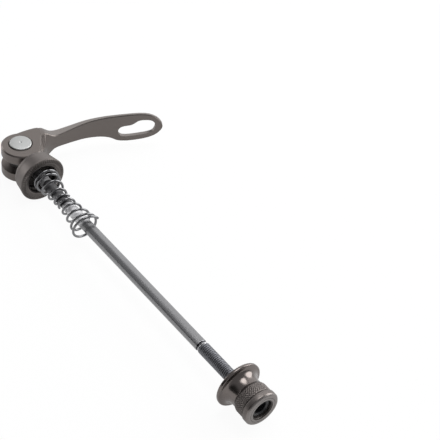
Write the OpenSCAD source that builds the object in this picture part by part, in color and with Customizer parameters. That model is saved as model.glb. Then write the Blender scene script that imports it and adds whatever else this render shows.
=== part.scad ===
// Quick release skewer with an outside cam lever, for a bicycle wheel.
// The rod runs along +X, the pivot pin stands along Z and the closed lever points along +Y.
// The origin is the middle of the lever side clamping face, on the axis of the rod.

/* [Rod] */
// Diameter of the plain rod
rod_d = 4.75; // [4:0.05:6]
// Outside diameter of the thread
thread_d = 4.9; // [4:0.05:6]
// Pitch of the thread
thread_pitch = 0.8; // [0.5:0.1:1.25]
// Depth of the thread
thread_depth = 0.38; // [0.2:0.01:0.6]
// Length of the thread with its runout
thread_length = 33.5; // [20:0.5:60]
// How far the rod's end reaches past the nut's clamping face
rod_reach = 9.74; // [6:0.02:12]
// Length of the cone where the thread runs out into the plain rod
runout_length = 1.2; // [0.5:0.1:3]

/* [Pivot pin] */
// Diameter of the pivot pin
pin_d = 9; // [7:0.1:12]
// Length of the pivot pin over both domed ends
pin_length = 15; // [10:0.1:20]
// Height of the dome on each end of the pin
pin_dome = 0.45; // [0.2:0.05:1]
// Diameter of the centre mark in each end of the pin
pin_mark_d = 1.1; // [0.5:0.1:2]
// Depth of the centre mark
pin_mark_depth = 0.35; // [0.1:0.05:0.8]

/* [Cam head] */
// Height over both ears
head_height = 13.6; // [10:0.1:18]
// Height of the slot between the ears
slot_height = 5.4; // [5:0.1:7]
// Pivot axis to the closed end of the slot
slot_reach = 4.95; // [4:0.05:7]
// Pivot axis to the cam face with the lever closed
cam_reach = 9.35; // [8:0.05:12]
// How far the cam lets the cup back over half a turn
cam_throw = 2.2; // [1.5:0.1:3]
// Chamfer round both ears
ear_chamfer = 0.5; // [0.2:0.05:1]
// Chamfer round the pin bore in each ear
bore_chamfer = 0.45; // [0.1:0.05:0.8]

/* [Lever blade] */
// Pivot axis plane to the inner face of the blade
blade_set_back = 0.45; // [0:0.05:2]
// Pivot axis to the start of the bend
bend_start = 28; // [20:0.5:40]
// Radius of the bend
bend_radius = 29; // [15:0.5:60]
// Angle of the bend
bend_angle = 28.5; // [10:0.5:40]
// Length of the blade measured along its inner face from the pivot axis
blade_length = 64.9; // [50:0.1:80]
// Thickness of the blade in the loop
blade_thickness = 1.6; // [1.2:0.05:3]
// Chamfer along the edges of the blade
blade_chamfer = 0.35; // [0.1:0.05:0.6]

/* [Cup] */
// Diameter of the clamping rim
cup_d = 19.8; // [16:0.1:26]
// Diameter of the back of the cup
cup_back_d = 14.5; // [12:0.1:20]
// Diameter where the cup's rounded back meets its side
cup_shoulder_d = 18.2; // [14:0.1:24]
// Length of the cup
cup_length = 8.46; // [6:0.02:12]
// Inner diameter of the flat clamping ring
ring_d = 15.4; // [13:0.1:22]
// Depth of the cone between the clamping ring and the mouth
cone_depth = 0.55; // [0.2:0.05:1.2]
// Diameter of the mouth
mouth_d = 12.6; // [10:0.1:18]
// Depth of the mouth
mouth_depth = 2.6; // [1:0.1:4]
// Diameter of the spring seat inside the mouth
seat_d = 11.4; // [9:0.1:16]
// Depth from the clamping face to the floor of the spring seat
seat_depth = 4.9; // [3:0.1:7]
// Number of radial teeth on each clamping face
tooth_count = 60; // [24:1:90]
// Depth of the grooves between the teeth
tooth_depth = 0.26; // [0.1:0.02:0.6]

/* [Cam washer] */
// Diameter of the cam washer
washer_d = 12.2; // [9:0.1:16]
// Thickness of the cam washer at its rim
washer_thickness = 1.9; // [1:0.1:3]
// How deep the cam lies in the washer's saddle
saddle_depth = 0.4; // [0.2:0.05:0.8]
// Radius of the shallow saddle the cam bears on
saddle_radius = 10.4; // [9.5:0.1:16]

/* [Springs] */
// Diameter of the spring wire
wire_d = 1; // [0.5:0.05:1.2]
// Mean diameter of the narrow coils on the rod
spring_narrow_d = 6.02; // [5.8:0.02:9]
// Turns of each spring
spring_turns = 4.5; // [3:0.1:6]
// Angle by which the coils lean on the rod
spring_tilt = 5.5; // [0:0.5:8]
// Angle round the rod toward which the coils lean, from +Y toward +Z
lean_angle = 37; // [0:1:359]
// Mean diameter of the wide end coil in the cup's mouth
lever_spring_d = 9.9; // [8:0.1:14]
// Length of the lever side spring between the wire centres of its ends
lever_spring_length = 14.35; // [10:0.05:24]
// Clamping face of the cup to the lever side spring's wide end
lever_spring_start = 0.75; // [0.7:0.05:2]
// How far the lever side spring's wide end stands off the axis
lever_spring_shift = 0.9; // [0:0.05:1.2]
// How long the lever side spring stays wide before it narrows
lever_spring_belly = 2.5; // [1:0.1:3]
// Mean diameter of the wide end coil toward the nut
nut_spring_d = 11.4; // [8:0.1:14]
// Length of the nut side spring between the wire centres of its ends
nut_spring_length = 16.4; // [10:0.1:24]
// How far the nut side spring's wide end hangs off the axis
nut_spring_shift = 0.6; // [0:0.05:1.2]
// How long the nut side spring stays wide before it narrows
nut_spring_belly = 1.3; // [1:0.1:3]

/* [Nut] */
// Clamping face of the nut from the lever side clamping face
nut_face = 127.26; // [102:0.02:132]
// Length of the nut
nut_length = 14.46; // [10:0.02:20]
// Diameter of the nut's flange
flange_d = 18.5; // [14:0.1:24]
// Thickness of the flange at its edge
flange_edge = 1.45; // [0.8:0.05:3]
// Diameter of the neck
neck_d = 12.3; // [9:0.1:16]
// Clamping face to the start of the knurled collar
collar_start = 7.05; // [5:0.05:10]
// Diameter over the knurl
knurl_d = 13.75; // [10:0.05:18]
// Length of the knurl
knurl_length = 3.8; // [2:0.05:8]
// Height of the knurl's points
knurl_depth = 0.3; // [0.1:0.05:0.6]
// Number of knurl points round the collar
knurl_count = 44; // [24:2:72]
// Diameter of the plain lip at the outer end
lip_d = 14.1; // [10:0.05:18]
// Chamfer on the outer end
lip_chamfer = 0.7; // [0.2:0.05:1.5]
// Diameter of the pocket for the locking ring
pocket_d = 7.84; // [6:0.02:10]
// Depth of the pocket
pocket_depth = 4.3; // [2:0.1:7]
// Thickness of the locking ring
insert_thickness = 3.1; // [1.5:0.1:5]
// Diameter of the shallow spring seat in the clamping face
nut_seat_d = 11.6; // [9:0.1:16]
// Depth of that spring seat
nut_seat_depth = 1.4; // [0.5:0.1:3]

/* [Clearances] */
// Radial gap where one piece turns or slides on another
running_gap = 0.05; // [0.02:0.01:0.1]
// Gap between the cam and its washer
cam_gap = 0.05; // [0.02:0.01:0.1]
// Radial gap where a piece is pressed or screwed home
close_gap = 0.01; // [0.005:0.005:0.02]
// How far a cut runs past the face it opens
overrun = 1; // [0.5:0.5:3]

/* [View] */
// Roundness of turned pieces
$fn = 96;
// Node to draw

/* [Hidden] */
rod_r = rod_d / 2;
thread_r = thread_d / 2;
pin_r = pin_d / 2;
pin_x = saddle_depth - cup_length - cam_gap - cam_reach;
half_head = head_height / 2;
rod_end = nut_face + rod_reach;
thread_start = rod_end - thread_length;
cam_offset = cam_throw / PI;
cam_face_x = pin_x + cam_reach + cam_gap;
cup_r = cup_d / 2;
cup_back_r = cup_back_d / 2;
cup_back_x = -cup_length;
saddle_x = cam_face_x - saddle_radius;
washer_r = washer_d / 2;
wire_r = wire_d / 2;
nut_end = nut_face + nut_length;
collar_x = nut_face + collar_start;
knurl_x = collar_x + knurl_depth;
knurl_end = knurl_x + knurl_length;
knurl_r = knurl_d / 2;
knurl_root = knurl_r - knurl_depth;
lip_r = lip_d / 2;
bore_r = thread_r + running_gap;
slide_r = rod_r + running_gap;
swing_share = 0.045;
lever_crowd_share = 0.115;
nut_crowd_share = 0.045;

// Small helpers

function pairs_scaled(pairs, size) = [for (p = pairs) [p[0] * size, p[1] * size]];

function spline(p, q, r, s, t) =
  (2 * q + (r - p) * t + (2 * p - 5 * q + 4 * r - s) * t * t + (3 * q - p - 3 * r + s) * t * t * t) / 2;

function loop_curve(pts, steps) = [
  for (i = [0 : len(pts) - 1])
    for (j = [0 : steps - 1])
      let (n = len(pts))
        spline(pts[(i + n - 1) % n], pts[i], pts[(i + 1) % n], pts[(i + 2) % n], j / steps)
];

// A list of rings, each with the same number of points, closed to a solid
function ring_faces(rings, sides) = concat(
  [[for (k = [0 : sides - 1]) sides - 1 - k]],
  [
    for (i = [0 : rings - 2])
      for (k = [0 : sides - 1])
        [i * sides + k, i * sides + (k + 1) % sides, (i + 1) * sides + (k + 1) % sides]
  ],
  [
    for (i = [0 : rings - 2])
      for (k = [0 : sides - 1])
        [i * sides + k, (i + 1) * sides + (k + 1) % sides, (i + 1) * sides + k]
  ],
  [[for (k = [0 : sides - 1]) (rings - 1) * sides + k]]
);

// A profile of radius and distance along X, turned about the rod's axis
module turned(profile) {
  rotate([0, 90, 0])
    rotate_extrude()
      polygon(profile);
}

// Lever

function cam_size(a) = cam_reach + cam_throw * a / 180;

function cam_point(a) = [
  cam_size(a) * cos(a) - cam_offset * sin(a),
  cam_size(a) * sin(a) + cam_offset * cos(a)
];

// Points of the head's far side and of the slanted step down to the blade, as shares of the cam's reach
head_shares = [
  [-0.714, 0.225], [-0.71, 0.43], [-0.698, 0.642], [-0.672, 0.877], [-0.632, 1.112], [-0.582, 1.23],
  [-0.52, 1.287], [-0.445, 1.3], [-0.37, 1.275], [0.273, 0.885], [0.785, 0.525], [0.88, 0.46], [0.925, 0.42]
];

head_outline = concat(
  [for (a = [16 : -4 : -190]) cam_point(a)],
  pairs_scaled(head_shares, cam_reach)
);

function towards_pin(p, by) = p * (1 - by / norm(p));

// Distance along the blade and the value there, as shares of the blade's length
top_shares = [
  [0, 0.0995], [0.18, 0.0995], [0.193, 0.097], [0.206, 0.089], [0.22, 0.0785], [0.234, 0.0675],
  [0.247, 0.0585], [0.26, 0.053], [0.277, 0.0505], [0.308, 0.0508], [0.373, 0.0547],
  [0.447, 0.0608], [0.52, 0.068],
  [0.59, 0.075], [0.655, 0.084],
  [0.72, 0.093], [0.79, 0.1], [0.84, 0.1025], [0.88, 0.101], [0.91, 0.0955], [0.94, 0.083],
  [0.963, 0.067], [0.98, 0.049], [0.992, 0.031], [0.998, 0.018], [1, 0.0085]
];
bottom_shares = [
  [0, 0.0995], [0.18, 0.0995], [0.193, 0.097], [0.206, 0.089], [0.22, 0.0785], [0.234, 0.0675],
  [0.247, 0.0585], [0.26, 0.053], [0.277, 0.0505], [0.308, 0.0508], [0.373, 0.0547],
  [0.447, 0.0608], [0.52, 0.067],
  [0.59, 0.0735], [0.625, 0.079],
  [0.657, 0.087], [0.68, 0.098], [0.7, 0.109], [0.725, 0.1145], [0.77, 0.1162], [0.82, 0.111], [0.87, 0.1025],
  [0.91, 0.0918], [0.945, 0.0765], [0.968, 0.06], [0.985, 0.041], [0.994, 0.028], [0.998, 0.018], [1, 0.0085]
];
thickness_shares = [
  [0, 0.088], [0.139, 0.083], [0.2, 0.077], [0.231, 0.072], [0.262, 0.067], [0.285, 0.061], [0.308, 0.0565],
  [0.335, 0.053], [0.404, 0.0455], [0.47, 0.038], [0.555, 0.0315], [0.62, 0.0285], [0.7, 0.0262],
  [0.77, 0.0247], [1, 0.0247]
];
flare_shares = [
  [0, 0.13], [0.077, 0.112], [0.119, 0.0735], [0.152, 0.047], [0.185, 0.026], [0.216, 0.0125], [0.25, 0.0045],
  [0.285, 0.001], [0.308, 0], [1, 0]
];

// Stations along the blade, close together where its outline turns quickly
station_shares = concat(
  [for (i = [0 : 18]) 0.068 + 0.24 * i / 18],
  [for (i = [1 : 7]) 0.308 + 0.262 * i / 7],
  [for (i = [1 : 26]) 0.57 + 0.37 * i / 26],
  [0.951, 0.963, 0.972, 0.98, 0.987, 0.992, 0.996, 0.999, 1]
);

bend_length = bend_radius * bend_angle * PI / 180;
bend_end = bend_start + bend_length;
function turn_at(s) = bend_angle * max(0, min(1, (s - bend_start) / bend_length));
function past_bend(s) = max(0, s - bend_end);
function blade_x(s) =
  -blade_set_back + bend_radius * (1 - cos(turn_at(s))) + past_bend(s) * sin(bend_angle);
function blade_y(s) =
  min(s, bend_start) + bend_radius * sin(turn_at(s)) + past_bend(s) * cos(bend_angle);
function value_at(table, share) = lookup(share, table) * blade_length;

// One chamfered section of the blade, square to its inner face
function section_point(s, out, z) = [
  blade_x(s) - out * cos(turn_at(s)),
  blade_y(s) + out * sin(turn_at(s)),
  z
];

function blade_section(share) =
  let (
    s = share * blade_length,
    web = -value_at(flare_shares, share),
    outer = value_at(thickness_shares, share),
    top = value_at(top_shares, share),
    low = -value_at(bottom_shares, share),
    cut = min(blade_chamfer, top * 0.4, -low * 0.4),
    flat = min(slot_height, top - low - 2 * cut) / 3
  ) [
    section_point(s, cut, top),
    section_point(s, outer - cut, top),
    section_point(s, outer, top - cut),
    section_point(s, outer, low + cut),
    section_point(s, outer - cut, low),
    section_point(s, cut, low),
    section_point(s, 0, low + cut),
    section_point(s, web, (top + low) / 2 - flat),
    section_point(s, web, (top + low) / 2 + flat),
    section_point(s, 0, top - cut)
  ];

// Outline of the opening in the loop, along and across the blade, as shares of its length
opening_shares = [
  [0.709, -0.0345], [0.713, -0.0145], [0.728, 0.0015], [0.752, 0.0095], [0.778, 0.0135], [0.797, 0.019],
  [0.816, 0.0305], [0.831, 0.0435], [0.85, 0.0522], [0.877, 0.0555], [0.914, 0.053], [0.938, 0.041],
  [0.95, 0.019], [0.949, -0.011], [0.936, -0.037], [0.911, -0.051], [0.862, -0.0615], [0.797, -0.0715],
  [0.753, -0.074], [0.73, -0.0695], [0.714, -0.056]
];

module ear_slab() {
  levels = [-half_head, ear_chamfer - half_head, half_head - ear_chamfer, half_head];
  insets = [ear_chamfer, 0, 0, ear_chamfer];
  rings = [for (i = [0 : 3]) for (p = head_outline) concat(towards_pin(p, insets[i]), levels[i])];
  polyhedron(points = rings, faces = ring_faces(4, len(head_outline)), convexity = 4);
}

module blade_body() {
  sections = [for (share = station_shares) for (p = blade_section(share)) p];
  polyhedron(points = sections, faces = ring_faces(len(station_shares), 10), convexity = 6);
}

module blade_opening() {
  translate([blade_x(bend_end), blade_y(bend_end), 0])
    rotate([0, 0, -bend_angle])
      translate([-blade_thickness - overrun, -bend_end, 0])
        rotate([90, 0, 90])
          linear_extrude(height = blade_thickness + 2 * overrun)
            polygon(pairs_scaled(loop_curve(opening_shares, 4), blade_length));
}

module ear_slot() {
  translate([-2 * cam_reach, slot_reach - 3 * cam_reach, -slot_height / 2])
    cube([4 * cam_reach, 3 * cam_reach, slot_height]);
}

module pin_bore() {
  bore = pin_r + running_gap;
  wide = bore + bore_chamfer;
  rotate_extrude()
    polygon([
      [0, -half_head - overrun],
      [wide, -half_head - overrun],
      [wide, -half_head],
      [bore, bore_chamfer - half_head],
      [bore, half_head - bore_chamfer],
      [wide, half_head],
      [wide, half_head + overrun],
      [0, half_head + overrun]
    ]);
}

module lever() {
  color([0.43, 0.39, 0.38])
    translate([pin_x, 0, 0])
      difference() {
        union() {
          ear_slab();
          blade_body();
        }
        blade_opening();
        ear_slot();
        pin_bore();
      }
}

// Pivot pin

module pivot_pin() {
  half = pin_length / 2;
  edge = half - pin_dome;
  rim = pin_r - pin_dome / 2;
  mark = pin_mark_d / 2;
  color([0.82, 0.83, 0.83])
    translate([pin_x, 0, 0])
      difference() {
        rotate_extrude()
          polygon(concat(
            [[0, pin_mark_depth - half], [mark, -half]],
            [for (i = [1 : 6]) [mark + (rim - mark) * i / 6, -half + pin_dome / 2 * (i / 6) * (i / 6)]],
            [[pin_r, -edge], [pin_r, edge]],
            [for (i = [6 : -1 : 1]) [mark + (rim - mark) * i / 6, half - pin_dome / 2 * (i / 6) * (i / 6)]],
            [[mark, half], [0, half - pin_mark_depth]]
          ));
        rotate([0, 90, 0])
          cylinder(h = 2 * pin_r + 2 * overrun, r = rod_r + close_gap, center = true);
      }
}

// Rod

module rod() {
  start = pin_x - pin_r * 0.86;
  bevel = rod_r * 0.16;
  root = thread_r - thread_depth;
  first = thread_start + runout_length;
  rings = floor((rod_end - first) / thread_pitch) - 1;
  color([0.56, 0.56, 0.57])
    turned(concat(
      [[0, start], [rod_r - bevel, start], [rod_r, start + bevel], [rod_r, thread_start]],
      [for (i = [0 : rings - 1]) for (k = [0 : 1]) [
        k == 0 ? root : thread_r,
        first + (i + k * 0.5) * thread_pitch
      ]],
      [[root, first + rings * thread_pitch], [root, rod_end], [0, rod_end]]
    ));
}

// Cam washer and cup

module saddle_cut() {
  translate([saddle_x, cam_offset, 0])
    cylinder(h = 2 * cup_r, r = saddle_radius, center = true);
}

module cam_washer() {
  hole = slide_r;
  ease = wire_r * 0.6;
  color([0.2, 0.2, 0.21])
    difference() {
      turned([
        [hole, cup_back_x],
        [washer_r, cup_back_x],
        [washer_r, cup_back_x + washer_thickness - ease],
        [washer_r - ease, cup_back_x + washer_thickness],
        [hole, cup_back_x + washer_thickness]
      ]);
      saddle_cut();
    }
}

// Radial grooves across a clamping face that lies at a given place and looks along X
module teeth(face_x, facing, inner_r, outer_r) {
  for (i = [0 : tooth_count - 1])
    rotate([i * 360 / tooth_count, 0, 0])
      translate([face_x, 0, inner_r])
        linear_extrude(height = outer_r - inner_r)
          polygon([
            [-facing * tooth_depth, 0],
            [facing * tooth_depth, -2 * tooth_depth],
            [facing * tooth_depth, 2 * tooth_depth]
          ]);
}

module cup() {
  edge = cup_back_d * 0.03;
  shoulder_r = cup_shoulder_d / 2;
  swell = shoulder_r - cup_back_r;
  ring_r = ring_d / 2;
  mouth_r = mouth_d / 2;
  seat_r = seat_d / 2;
  pocket_r = washer_r + close_gap;
  color([0.42, 0.39, 0.37])
    difference() {
      turned(concat(
        [[slide_r, cup_back_x + washer_thickness], [pocket_r, cup_back_x + washer_thickness]],
        [[pocket_r, cup_back_x], [cup_back_r - edge, cup_back_x]],
        [for (i = [0 : 8]) [
          cup_back_r + swell * sin(90 * i / 8),
          cup_back_x + edge / 2 + cup_length * 0.34 * (1 - cos(90 * i / 8))
        ]],
        [[cup_r, -2 * edge], [cup_r, -edge], [cup_r - edge, 0]],
        [[ring_r, 0], [mouth_r, -cone_depth], [mouth_r, -mouth_depth], [seat_r, -mouth_depth - edge]],
        [[seat_r, -seat_depth], [slide_r + edge, -seat_depth], [slide_r, -seat_depth - edge]]
      ));
      saddle_cut();
      teeth(0, 1, ring_r + edge, cup_r);
    }
}

// Springs

// Share of the spring's length at a share of its turns, which crowd toward the wide end
function coil_t(u, crowd_share) = u - sin(360 * u) * swing_share - sin(180 * u) * crowd_share;

// How wide a coil is, from 1 at the wide end to 0 at the narrow one
function coil_cone(u, belly) = pow(1 - pow(u, belly), belly + 0.5);

// A wire wound left handed round X, as a ring of eight points at a share of the spring's turns
function spring_ring(u, wide_d, wide_x, span, shift, belly, crowd_share) =
  let (
    a = span > 0 ? lean_angle + 180 - spring_turns * 360 * u : lean_angle + spring_turns * 360 * u,
    cone = coil_cone(u, belly),
    r = (spring_narrow_d + (wide_d - spring_narrow_d) * cone) / 2,
    x = wide_x + span * coil_t(u, crowd_share) + r * tan(spring_tilt) * cos(a - lean_angle),
    off_y = shift * cone * cos(lean_angle),
    off_z = shift * cone * sin(lean_angle)
  ) [
    for (k = [0 : 7])
      let (ring = r + wire_r * cos(45 * k))
        [x + wire_r * sin(45 * k), ring * cos(a) + off_y, ring * sin(a) + off_z]
  ];

module coil_spring(wide_d, wide_x, span, shift, belly, crowd_share) {
  rings = ceil(spring_turns * 20) + 1;
  points = [
    for (i = [0 : rings - 1])
      let (share = i / (rings - 1), u = span > 0 ? 1 - share : share)
        for (p = spring_ring(u, wide_d, wide_x, span, shift, belly, crowd_share))
          p
  ];
  polyhedron(points = points, faces = ring_faces(rings, 8), convexity = 10);
}

module lever_spring() {
  color([0.7, 0.7, 0.71])
    coil_spring(
      lever_spring_d,
      lever_spring_start,
      lever_spring_length,
      lever_spring_shift,
      lever_spring_belly,
      lever_crowd_share
    );
}

module nut_spring() {
  narrow_x = lever_spring_start + lever_spring_length + wire_d * 1.3;
  color([0.7, 0.7, 0.71])
    coil_spring(
      nut_spring_d,
      narrow_x + nut_spring_length,
      -nut_spring_length,
      -nut_spring_shift,
      nut_spring_belly,
      nut_crowd_share
    );
}

// Nut

// A band of pointed knurl round X, with its points in a diamond pattern
module knurl_band() {
  columns = 2 * knurl_count;
  rows = 8;
  inner = knurl_root - knurl_depth;
  spin = [for (i = [0 : columns - 1]) 360 * i / columns];
  outer = [
    for (j = [0 : rows])
      for (i = [0 : columns - 1])
        let (r = j == 0 || j == rows ? knurl_root : (i + j) % 2 == 0 ? knurl_r : knurl_root)
          [knurl_x + knurl_length * j / rows, r * cos(spin[i]), r * sin(spin[i])]
  ];
  lining = [
    for (j = [0, rows])
      for (a = spin)
        [knurl_x + knurl_length * j / rows, inner * cos(a), inner * sin(a)]
  ];
  low = (rows + 1) * columns;
  high = low + columns;
  faces = concat(
    [
      for (j = [0 : rows - 1])
        for (i = [0 : columns - 1])
          for (h = [0, 1])
            let (
              a = j * columns + i,
              b = j * columns + (i + 1) % columns,
              c = a + columns,
              d = b + columns
            )
              (i + j) % 2 == 0 ? (h == 0 ? [a, d, b] : [a, c, d]) : (h == 0 ? [a, c, b] : [b, c, d])
    ],
    [
      for (i = [0 : columns - 1])
        for (h = [0, 1])
          let (n = (i + 1) % columns)
            h == 0 ? [low + i, i, n] : [low + i, n, low + n]
    ],
    [
      for (i = [0 : columns - 1])
        for (h = [0, 1])
          let (e = rows * columns, n = (i + 1) % columns)
            h == 0 ? [high + i, e + n, e + i] : [high + i, high + n, e + n]
    ],
    [
      for (i = [0 : columns - 1])
        for (h = [0, 1])
          let (n = (i + 1) % columns)
            h == 0 ? [low + i, high + n, high + i] : [low + i, low + n, high + n]
    ]
  );
  polyhedron(points = concat(outer, lining), faces = faces, convexity = 6);
}

module nut() {
  flange_r = flange_d / 2;
  neck_r = neck_d / 2;
  edge = flange_edge * 0.22;
  slope_from = nut_face + flange_edge;
  slope = collar_start - flange_edge;
  core_r = knurl_root - knurl_depth / 3;
  groove = knurl_depth * 1.3;
  lip_x = knurl_end + groove;
  pocket_r = pocket_d / 2;
  pocket_x = nut_end - pocket_depth;
  seat_r = nut_seat_d / 2;
  seat_x = nut_face + nut_seat_depth;
  lead = thread_depth;
  color([0.43, 0.39, 0.38])
    union() {
      knurl_band();
      difference() {
        turned(concat(
          [[bore_r, seat_x + lead], [bore_r + lead, seat_x], [seat_r, seat_x], [seat_r, nut_face]],
          [[flange_r - edge, nut_face], [flange_r, nut_face + edge], [flange_r, slope_from - edge]],
          [for (i = [0 : 12]) [
            neck_r + (flange_r - edge - neck_r) * pow(1 - sin(90 * i / 12), 1.35),
            slope_from + slope * 0.86 * (1 - cos(90 * i / 12))
          ]],
          [[core_r, collar_x], [core_r, lip_x], [lip_r - edge, lip_x], [lip_r, lip_x + edge]],
          [[lip_r, nut_end - lip_chamfer], [lip_r - lip_chamfer * 0.6, nut_end - lip_chamfer * 0.25]],
          [[lip_r - lip_chamfer * 1.2, nut_end], [pocket_r + edge, nut_end], [pocket_r, nut_end - edge]],
          [[pocket_r, pocket_x], [bore_r + lead, pocket_x], [bore_r, pocket_x - lead]]
        ));
        teeth(nut_face, -1, seat_r + 3 * edge, flange_r);
      }
    }
}

module nut_insert() {
  outer_r = pocket_d / 2 - running_gap;
  start = nut_end - pocket_depth + running_gap;
  ease = insert_thickness * 0.12;
  color([0.09, 0.09, 0.1])
    turned([
      [bore_r, start],
      [outer_r, start],
      [outer_r, start + insert_thickness - ease],
      [outer_r - ease, start + insert_thickness],
      [bore_r + ease, start + insert_thickness],
      [bore_r, start + insert_thickness - ease]
    ]);
}

lever();
pivot_pin();
rod();
cam_washer();
cup();
lever_spring();
nut_spring();
nut();
nut_insert();
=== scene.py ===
# %% [markdown]
# A bicycle's quick release skewer is a thin steel rod with a cam lever at one end and a
# knurled nut at the other. Its hard parts are already drawn as solids, so the first step
# loads them as a fixed frame. Every later surface takes its place from that frame.

import math

import bmesh
import bpy
import numpy as np
from mathutils import Matrix, Vector


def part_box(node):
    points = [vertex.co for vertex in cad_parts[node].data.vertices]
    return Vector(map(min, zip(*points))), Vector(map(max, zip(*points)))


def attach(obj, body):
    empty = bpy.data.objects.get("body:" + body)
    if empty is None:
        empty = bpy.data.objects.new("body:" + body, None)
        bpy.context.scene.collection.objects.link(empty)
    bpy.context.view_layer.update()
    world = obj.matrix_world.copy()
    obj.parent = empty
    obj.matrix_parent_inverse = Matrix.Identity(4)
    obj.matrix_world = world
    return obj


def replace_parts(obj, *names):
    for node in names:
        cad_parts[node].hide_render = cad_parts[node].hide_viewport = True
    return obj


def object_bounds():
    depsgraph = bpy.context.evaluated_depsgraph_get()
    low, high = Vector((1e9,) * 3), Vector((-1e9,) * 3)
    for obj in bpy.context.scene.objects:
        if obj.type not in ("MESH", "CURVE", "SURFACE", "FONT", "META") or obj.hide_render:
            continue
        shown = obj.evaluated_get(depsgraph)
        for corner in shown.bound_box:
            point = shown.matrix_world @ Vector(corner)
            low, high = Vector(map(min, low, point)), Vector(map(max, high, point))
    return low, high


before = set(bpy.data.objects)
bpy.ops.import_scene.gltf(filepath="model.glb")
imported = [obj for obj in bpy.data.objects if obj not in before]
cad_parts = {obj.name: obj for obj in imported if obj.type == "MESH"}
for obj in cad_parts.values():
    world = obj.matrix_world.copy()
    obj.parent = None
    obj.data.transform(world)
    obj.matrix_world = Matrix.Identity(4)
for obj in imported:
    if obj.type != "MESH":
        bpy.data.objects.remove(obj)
cad_low, cad_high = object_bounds()
MM = 0.001
print("pieces in the frame:", sorted(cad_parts))
print("size in mm:", [round((b - a) / MM, 2) for a, b in zip(cad_low, cad_high)])

# %% [markdown]
# Two jobs come back all the time: putting a new object into the scene, and adding a Math
# node whose inputs are either plain numbers or the outputs of other nodes. Each gets a
# small function, so that the steps below only say what they make.

# %% Small helpers


def new_object(name, data):
    """An object at the origin that holds the data, linked to the scene."""
    made = bpy.data.objects.new(name, data)
    bpy.context.scene.collection.objects.link(made)
    return made


def math_node(tree, operation, a, b=None):
    """The output of a Math node whose inputs are linked from sockets or set to numbers."""
    node = tree.nodes.new("ShaderNodeMath")
    node.operation = operation
    for socket, value in zip(node.inputs, (a, b)):
        if value is None:
            continue
        if isinstance(value, (int, float)):
            socket.default_value = value
        else:
            tree.links.new(value, socket)
    return node.outputs[0]


print("helpers: new_object, math_node")

# %% [markdown]
# The photograph looks down on the skewer from 42 degrees, through a long lens. Three
# directions and one place fix a camera: what lies to the right in the picture, what lies
# down in it, and where the lens stands. Blender's camera looks along its own -Z with +Y up,
# so the columns of its matrix are right, minus down, and minus forward.

# %% Camera
CAMERA_PLACE_MM = (341.32, -210.38, 343.43)
CAMERA_RIGHT = (0.60506, 0.79105, 0.09023)
CAMERA_DOWN = (0.57293, -0.35390, -0.73926)
FOCAL_LENGTH_MM = 106.36
SENSOR_MM = 36.0
NEAREST, FARTHEST = 0.01, 10.0


def photo_camera():
    """A camera whose axes are the picture's right, up and backward directions."""
    right = Vector(CAMERA_RIGHT).normalized()
    down = Vector(CAMERA_DOWN)
    down = (down - right * down.dot(right)).normalized()
    forward = right.cross(down)
    data = bpy.data.cameras.new("photo_camera")
    data.lens = FOCAL_LENGTH_MM
    data.sensor_width = SENSOR_MM
    data.clip_start, data.clip_end = NEAREST, FARTHEST
    camera = new_object("photo_camera", data)
    turn = Matrix((right, -down, -forward)).transposed().to_4x4()
    camera.matrix_world = Matrix.Translation(Vector(CAMERA_PLACE_MM) * MM) @ turn
    return camera


bpy.context.scene.camera = photo_camera()
backward = bpy.context.scene.camera.matrix_world.col[2][:3]
print("camera looks along", [round(-v, 3) for v in backward])

# %% [markdown]
# A product picture on white needs two things from its floor: it fades into the backdrop,
# and it still holds the soft shadow that shows where the part stands. The floor is a pale
# diffuse sheet. For rays that come from the camera, or pass through something, it is mixed
# almost wholly with plain white, and for mirrored rays by about half. Light Path tells the
# material which kind of ray is asking, so this white adds no light to dull surfaces.

# %% Floor and backdrop
FLOOR_HALF = 3.0
FLOOR_GAP_MM = 0.02
FLOOR_COLOUR = (0.86, 0.86, 0.86, 1.0)
GLOW_COLOUR = (1.0, 1.0, 1.0, 1.0)
FLOOR_GLOW = 0.94
MIRRORED_GLOW = 0.55


def floor_material():
    """Diffuse, mixed with white by FLOOR_GLOW * max(camera, MIRRORED_GLOW * mirror, glass)."""
    mat = bpy.data.materials.new("pale_floor")
    mat.use_nodes = True
    tree = mat.node_tree
    tree.nodes.clear()
    out = tree.nodes.new("ShaderNodeOutputMaterial")
    matte = tree.nodes.new("ShaderNodeBsdfDiffuse")
    matte.inputs["Color"].default_value = FLOOR_COLOUR
    glow = tree.nodes.new("ShaderNodeEmission")
    glow.inputs["Color"].default_value = GLOW_COLOUR
    glow.inputs["Strength"].default_value = 1.0
    path = tree.nodes.new("ShaderNodeLightPath")
    mirrored = math_node(tree, "MULTIPLY", path.outputs["Is Glossy Ray"], MIRRORED_GLOW)
    asked = math_node(tree, "MAXIMUM", path.outputs["Is Camera Ray"], mirrored)
    asked = math_node(tree, "MAXIMUM", asked, path.outputs["Is Transmission Ray"])
    mix = tree.nodes.new("ShaderNodeMixShader")
    tree.links.new(math_node(tree, "MULTIPLY", asked, FLOOR_GLOW), mix.inputs["Fac"])
    tree.links.new(matte.outputs[0], mix.inputs[1])
    tree.links.new(glow.outputs[0], mix.inputs[2])
    tree.links.new(mix.outputs[0], out.inputs["Surface"])
    return mat


def flat_floor(height):
    """A square sheet in the plane z = height."""
    h = FLOOR_HALF
    corners = [(-h, -h, height), (h, -h, height), (h, h, height), (-h, h, height)]
    mesh = bpy.data.meshes.new("floor")
    mesh.from_pydata(corners, [], [(0, 1, 2, 3)])
    mesh.materials.append(floor_material())
    return new_object("floor", mesh)


floor_height = cad_low.z - FLOOR_GAP_MM * MM
floor = flat_floor(floor_height)
print("floor at z =", round(floor_height / MM, 3), "mm")

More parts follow.
